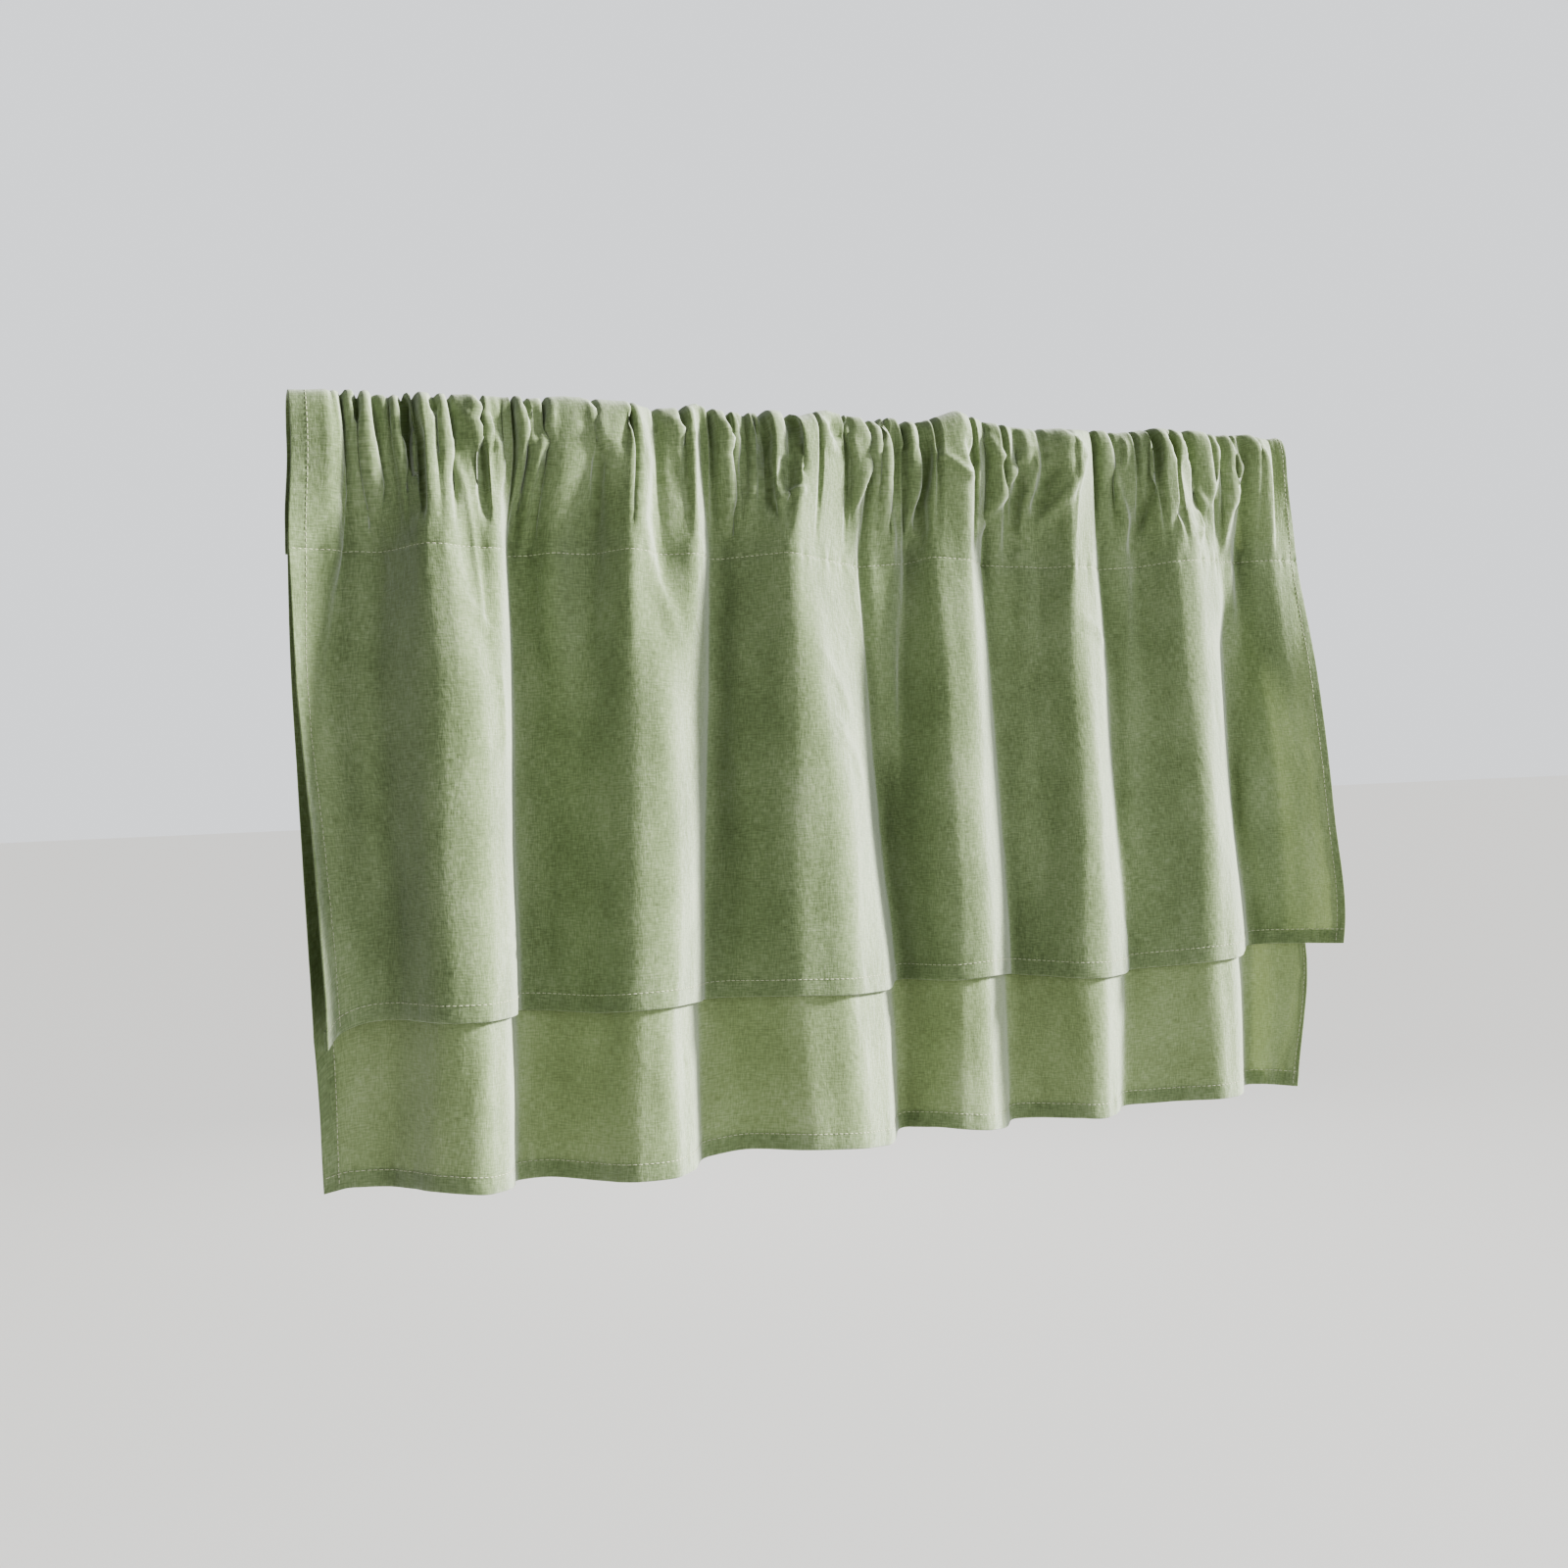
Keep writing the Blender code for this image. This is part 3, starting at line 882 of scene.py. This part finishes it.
STITCH_PITCH = 3.3
STITCH_LENGTH = 2.5
STITCH_RADIUS = 0.26
STITCH_SINK = 0.06
STITCH_FLAT = 0.8  # its height for its width
STITCH_TIP = 0.15
# A stitch from end to end: share of its length and of its radius
STITCH_SHAPE = ((0.0, 0.0), (0.08, 0.7), (0.3, 1.0), (0.7, 1.0), (0.92, 0.7), (1.0, 0.0))
STITCH_SIDES = 6


def stitch_line(points, face, rows, columns):
    """Ends and outward directions of the stitches along a path over a grid."""
    path, out = read_grid(points, rows, columns), unit(read_grid(face, rows, columns))
    run = np.concatenate([[0.0], np.cumsum(np.linalg.norm(np.diff(path, axis=0), axis=1))])
    starts = np.arange(1.0, run[-1] - STITCH_LENGTH, STITCH_PITCH)

    def at(where, grid):
        return np.stack([np.interp(where, run, grid[:, k]) for k in range(3)], axis=-1)

    return at(starts, path), at(starts + STITCH_LENGTH, path), unit(at(starts + 0.5 * STITCH_LENGTH, out))


def stitches(name, lines, material):
    """All the stitches of a cloth as one mesh: short round-ended lengths of thread lying on its face."""
    start, end, out = (np.concatenate(parts) for parts in zip(*lines))
    way, length = unit(end - start), np.linalg.norm(end - start, axis=1)
    side = unit(np.cross(way, out))
    rings = []
    for share, size in STITCH_SHAPE:
        middle = start + way * (share * length)[:, None] + out * (size * STITCH_RADIUS - STITCH_SINK)
        ring = []
        for k in range(STITCH_SIDES):
            turn = 2 * math.pi * k / STITCH_SIDES
            spoke = side * math.cos(turn) + out * math.sin(turn) * STITCH_FLAT
            ring.append(middle + spoke * max(size, STITCH_TIP) * STITCH_RADIUS)
        rings.append(ring)
    points = np.array(rings).transpose(2, 0, 1, 3)
    count, ring_count = points.shape[0], len(STITCH_SHAPE)
    faces = []
    for r in range(ring_count - 1):
        for k in range(STITCH_SIDES):
            after = (k + 1) % STITCH_SIDES
            low, high = r * STITCH_SIDES, (r + 1) * STITCH_SIDES
            faces.append((low + k, high + k, high + after, low + after))
    faces = np.array(faces)
    first_ring = np.arange(STITCH_SIDES)
    caps = np.array([first_ring, first_ring[::-1] + (ring_count - 1) * STITCH_SIDES])
    offsets = np.arange(count)[:, None, None] * ring_count * STITCH_SIDES
    mesh = bpy.data.meshes.new(name)
    sides = (faces[None] + offsets).reshape(-1, 4).tolist()
    ends = (caps[None] + offsets).reshape(-1, STITCH_SIDES).tolist()
    mesh.from_pydata((points.reshape(-1, 3) * MM).tolist(), [], sides + ends)
    mesh.shade_smooth()
    mesh.materials.append(material)
    piece = bpy.data.objects.new(name, mesh)
    bpy.context.scene.collection.objects.link(piece)
    return piece


def node(tree, kind, inputs=(), **settings):
    """A new shader node with its settings made and its inputs set or linked."""
    made = tree.nodes.new(kind)
    for name, value in settings.items():
        setattr(made, name, value)
    for key, value in dict(inputs).items():
        if isinstance(value, bpy.types.NodeSocket):
            tree.links.new(value, made.inputs[key])
        else:
            made.inputs[key].default_value = value
    return made


def streaks(tree, place, scale, detail):
    """Noise drawn out along the yarns, by different scales across and down the cloth."""
    stretched = node(tree, "ShaderNodeMapping", {"Vector": place, "Scale": scale})
    return node(
        tree, "ShaderNodeTexNoise", {"Vector": stretched.outputs["Vector"], "Scale": 1.0, "Detail": detail}
    ).outputs["Fac"]


def maths(tree, operation, *values):
    """The value of a maths node."""
    return node(tree, "ShaderNodeMath", dict(enumerate(values)), operation=operation).outputs["Value"]


LINEN_DARK = (0.158, 0.204, 0.104, 1)
LINEN_MIDDLE = (0.25, 0.312, 0.174, 1)
LINEN_LIGHT = (0.375, 0.435, 0.285, 1)
LET_THROUGH = (0.42, 0.50, 0.23, 1)
# Pale fibre colour: partly loose fuzz, partly a painted sheen where it is mixed in at grazing angles
PALE_FIBRES_AND_PAINTED_SHEEN = (0.70, 0.73, 0.69, 1.0)


def linen(name, dark, middle, light, through_light):
    """Washed plain-weave cloth: slubby yarns both ways, pale loose fuzz and a painted sheen mixed in at grazing
    angles, some light let through.
    """
    material = bpy.data.materials.new(name)
    material.use_nodes = True
    tree = material.node_tree
    shader = tree.nodes["Principled BSDF"]
    output = tree.nodes["Material Output"]
    place = node(tree, "ShaderNodeUVMap", uv_map="cloth").outputs["UV"]
    warp = streaks(tree, place, (1100.0, 180.0, 1.0), 2.0)
    weft = streaks(tree, place, (180.0, 1100.0, 1.0), 2.0)
    mottle = streaks(tree, place, (28.0, 18.0, 1.0), 3.0)
    yarns = maths(tree, "ADD", maths(tree, "MULTIPLY", warp, 0.5), maths(tree, "MULTIPLY", weft, 0.5))
    tone = maths(tree, "ADD", maths(tree, "MULTIPLY", yarns, 0.7), maths(tree, "MULTIPLY", mottle, 0.3))
    ramp = node(tree, "ShaderNodeValToRGB", {"Fac": tone})
    ramp.color_ramp.elements[0].position = 0.36
    ramp.color_ramp.elements[0].color = dark
    ramp.color_ramp.elements[1].position = 0.66
    ramp.color_ramp.elements[1].color = light
    ramp.color_ramp.elements.new(0.5).color = middle
    crinkle = streaks(tree, place, (260.0, 170.0, 1.0), 4.0)
    fine = node(tree, "ShaderNodeBump", {"Strength": 0.7, "Distance": 0.0004, "Height": yarns})
    bump = node(
        tree, "ShaderNodeBump",
        {"Strength": 0.7, "Distance": 0.0006, "Height": crinkle, "Normal": fine.outputs["Normal"]},
    )
    tree.links.new(ramp.outputs["Color"], shader.inputs["Base Color"])
    tree.links.new(bump.outputs["Normal"], shader.inputs["Normal"])
    shader.inputs["Roughness"].default_value = 0.9
    shader.inputs["Specular IOR Level"].default_value = 0.3
    shader.inputs["Sheen Weight"].default_value = 0.35
    shader.inputs["Sheen Roughness"].default_value = 0.5
    shader.inputs["Sheen Tint"].default_value = (0.96, 0.97, 0.95, 1.0)
    glow = node(tree, "ShaderNodeBsdfTranslucent", {"Color": through_light, "Normal": bump.outputs["Normal"]})
    mixed = node(
        tree, "ShaderNodeMixShader", {0: 0.2, 1: shader.outputs["BSDF"], 2: glow.outputs["BSDF"]}
    )
    # Pale fibre colour mixed in by how grazing the view is, at most 0.3 of it: loose fuzz, and a painted sheen
    # that whitens flanks seen edge-on
    grazing = node(tree, "ShaderNodeLayerWeight", {"Blend": 0.5, "Normal": bump.outputs["Normal"]})
    fuzz_and_sheen_share = maths(tree, "MINIMUM", maths(tree, "POWER", grazing.outputs["Facing"], 3.0), 0.3)
    fuzz_and_sheen = node(tree, "ShaderNodeBsdfDiffuse", {"Color": PALE_FIBRES_AND_PAINTED_SHEEN, "Normal": bump.outputs["Normal"]})
    mixed = node(
        tree, "ShaderNodeMixShader", {0: fuzz_and_sheen_share, 1: mixed.outputs["Shader"], 2: fuzz_and_sheen.outputs["BSDF"]}
    )
    tree.links.new(mixed.outputs["Shader"], output.inputs["Surface"])
    return material


def thread(name):
    """Pale green sewing thread with its twist."""
    material = bpy.data.materials.new(name)
    material.use_nodes = True
    tree = material.node_tree
    shader = tree.nodes["Principled BSDF"]
    place = node(tree, "ShaderNodeTexCoord").outputs["Object"]
    twist = node(tree, "ShaderNodeTexNoise", {"Vector": place, "Scale": 2400.0, "Detail": 2.0})
    ramp = node(tree, "ShaderNodeValToRGB", {"Fac": twist.outputs["Fac"]})
    ramp.color_ramp.elements[0].position = 0.35
    ramp.color_ramp.elements[0].color = (0.34, 0.37, 0.23, 1.0)
    ramp.color_ramp.elements[1].position = 0.65
    ramp.color_ramp.elements[1].color = (0.66, 0.68, 0.52, 1.0)
    tree.links.new(ramp.outputs["Color"], shader.inputs["Base Color"])
    shader.inputs["Roughness"].default_value = 0.6
    shader.inputs["Sheen Weight"].default_value = 0.3
    return material


ROWS_OVER_ROD = 8  # rows round the rod that belong to the front
SEAM_STEP = 0.25  # in columns or rows
BACK_SEAM_ABOVE = 12.0  # the back tier's side stitches start this far above the front hem

# Cloth
flat = closer_at(steps(0.0, FLAT_WIDTH, COLUMN_STEP), slots()[1][0], SLOT_CLEAR)
sage = linen("sage_linen", LINEN_DARK, LINEN_MIDDLE, LINEN_LIGHT, LET_THROUGH)
front_points, front_heights = front_surface(flat)
front_length = lengths(front_points)
front_seam = int(np.argmin(np.abs(front_heights + POCKET_DEPTH)))
front_drop = front_length - front_length[front_seam]
front_first = int(np.argmax(np.isfinite(front_heights))) - ROWS_OVER_ROD
in_front = np.arange(len(front_heights)) >= front_first
relief = wrinkled(flat, front_drop, (0.0, front_drop[-1] - SEAM), 11)
relief[in_front] += pleats(front_points)[in_front]
front_points = front_points + frame_of(front_points)[2] * relief[..., None]
front_grid, front_u, front_v = hemmed(front_points, flat, front_length)
front_cloth = cloth_mesh("front_tier_cloth", front_grid, front_u, front_v, sage)
back_points, back_heights = back_surface(flat)
back_length = lengths(back_points)
back_relief = wrinkled(flat, back_length, (back_length[-1] - SEAM,), 31)
back_points = back_points + frame_of(back_points)[2] * back_relief[..., None]
back_grid, back_u, back_v = hemmed(back_points, flat, back_length)
back_cloth = cloth_mesh("back_tier_cloth", back_grid, back_u, back_v, sage)


def seam_paths(points, flat, length, first_row, across_row):
    """A tier's stitches: along the bottom hem, down both side hems and, where it has one, along the pocket."""
    face = frame_of(points)[2]
    columns = np.arange(0.0, len(flat) - 1, SEAM_STEP)
    bottom = np.interp(length[-1] - SEAM, length, np.arange(len(length)))
    lines = [stitch_line(points, face, bottom, columns)]
    if across_row is not None:
        lines.append(stitch_line(points, face, float(across_row), columns))
    for edge in (SEAM, FLAT_WIDTH - SEAM):
        column = np.interp(edge, flat, np.arange(len(flat)))
        lines.append(stitch_line(points, face, np.arange(first_row, len(length) - 1, SEAM_STEP), column))
    return lines


cotton = thread("sewing_thread")
front_stitches = stitches(
    "front_tier_stitches", seam_paths(front_points, flat, front_length, front_first, front_seam), cotton
)
back_first = int(np.argmin(np.abs(back_heights + FRONT_DROP - BACK_SEAM_ABOVE)))
back_stitches = stitches(
    "back_tier_stitches", seam_paths(back_points, flat, back_length, back_first, None), cotton
)

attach(front_cloth, "root")
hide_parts("front_tier")
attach(back_cloth, "root")
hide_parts("back_tier")
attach(front_stitches, "root")
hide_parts("front_tier")
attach(back_stitches, "root")
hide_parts("back_tier")

# Camera, at the photograph's viewing angle
CAMERA_PLACE = (-384.0, -957.0, -237.0)
CAMERA_TURN = 19.75  # degrees to the right of straight ahead
CAMERA_ROLL = 0.0402  # tangent of the roll
LENS = 38.0
SHIFT_Y = 0.0069

turn = math.radians(CAMERA_TURN)
ahead = Vector((math.sin(turn), math.cos(turn), 0.0))
level = Vector((math.cos(turn), -math.sin(turn), 0.0))
upright = Vector((0.0, 0.0, 1.0))
right = (level - CAMERA_ROLL * upright).normalized()
up = (upright + CAMERA_ROLL * level).normalized()
camera = bpy.data.objects.new("camera", bpy.data.cameras.new("camera"))
camera.data.lens = LENS
camera.data.sensor_width = 36.0
camera.data.shift_y = SHIFT_Y
turned = Matrix((right, up, -ahead)).transposed().to_4x4()
camera.matrix_world = Matrix.Translation(Vector(CAMERA_PLACE) * MM) @ turned
bpy.context.scene.collection.objects.link(camera)
bpy.context.scene.camera = camera


def aimed(name, light, place, target):
    """A lamp at a place in metres that shines at a target."""
    lamp = bpy.data.objects.new(name, light)
    lamp.location = place
    lamp.rotation_euler = (Vector(target) - Vector(place)).to_track_quat("-Z", "Y").to_euler()
    bpy.context.scene.collection.objects.link(lamp)
    return lamp


def area_light(name, place, size, power, colour):
    """A round soft light aimed at the middle of the curtain."""
    light = bpy.data.lights.new(name, "AREA")
    light.shape = "DISK"
    light.size = size
    light.energy = power
    light.color = colour
    return aimed(name, light, place, (0.0, 0.0, -0.22))


KEY_SIDE = 71.0  # degrees to the right of the front
KEY_RISE = 24.0
KEY_STRENGTH = 7.3
KEY_SOFTNESS = 11.0
side, rise = math.radians(KEY_SIDE), math.radians(KEY_RISE)
key = bpy.data.lights.new("key", "SUN")
key.energy = KEY_STRENGTH
key.angle = math.radians(KEY_SOFTNESS)
key.color = (1.0, 0.985, 0.955)
key_place = (2 * math.sin(side) * math.cos(rise), -2 * math.cos(side) * math.cos(rise), 2 * math.sin(rise))
aimed("key", key, key_place, (0.0, 0.0, 0.0))
area_light("fill", (1.0, -2.2, 0.4), 1.6, 20.0, (0.97, 0.98, 1.0))
area_light("behind", (0.5, 1.6, 0.4), 1.4, 6.0, (1.0, 0.99, 0.94))

# Floor and surroundings, in metres
FLOOR = -0.80
REACH = 60.0
SKY_LIGHT = 0.22  # how strongly the surroundings light the cloth
SKY_SEEN = 0.8  # and how bright they look
floor_mesh = bpy.data.meshes.new("floor")
floor_mesh.from_pydata(
    [(-REACH, -REACH, FLOOR), (REACH, -REACH, FLOOR), (REACH, REACH, FLOOR), (-REACH, REACH, FLOOR)],
    [], [(0, 1, 2, 3)],
)
floor = bpy.data.objects.new("floor", floor_mesh)
bpy.context.scene.collection.objects.link(floor)
pale = bpy.data.materials.new("pale_floor")
pale.use_nodes = True
pale.node_tree.nodes["Principled BSDF"].inputs["Base Color"].default_value = (0.62, 0.62, 0.615, 1.0)
pale.node_tree.nodes["Principled BSDF"].inputs["Roughness"].default_value = 0.8
floor_mesh.materials.append(pale)
world = bpy.data.worlds.new("studio")
world.use_nodes = True
sky = world.node_tree.nodes["Background"]
seen = node(world.node_tree, "ShaderNodeLightPath").outputs["Is Camera Ray"]
strength = node(world.node_tree, "ShaderNodeMapRange", {"Value": seen, "To Min": SKY_LIGHT, "To Max": SKY_SEEN})
world.node_tree.links.new(strength.outputs["Result"], sky.inputs["Strength"])
sky.inputs["Color"].default_value = (0.95, 0.97, 1.0, 1.0)
bpy.context.scene.world = world
bpy.context.scene.view_settings.view_transform = "AgX"
bpy.context.scene.view_settings.look = "AgX - High Contrast"
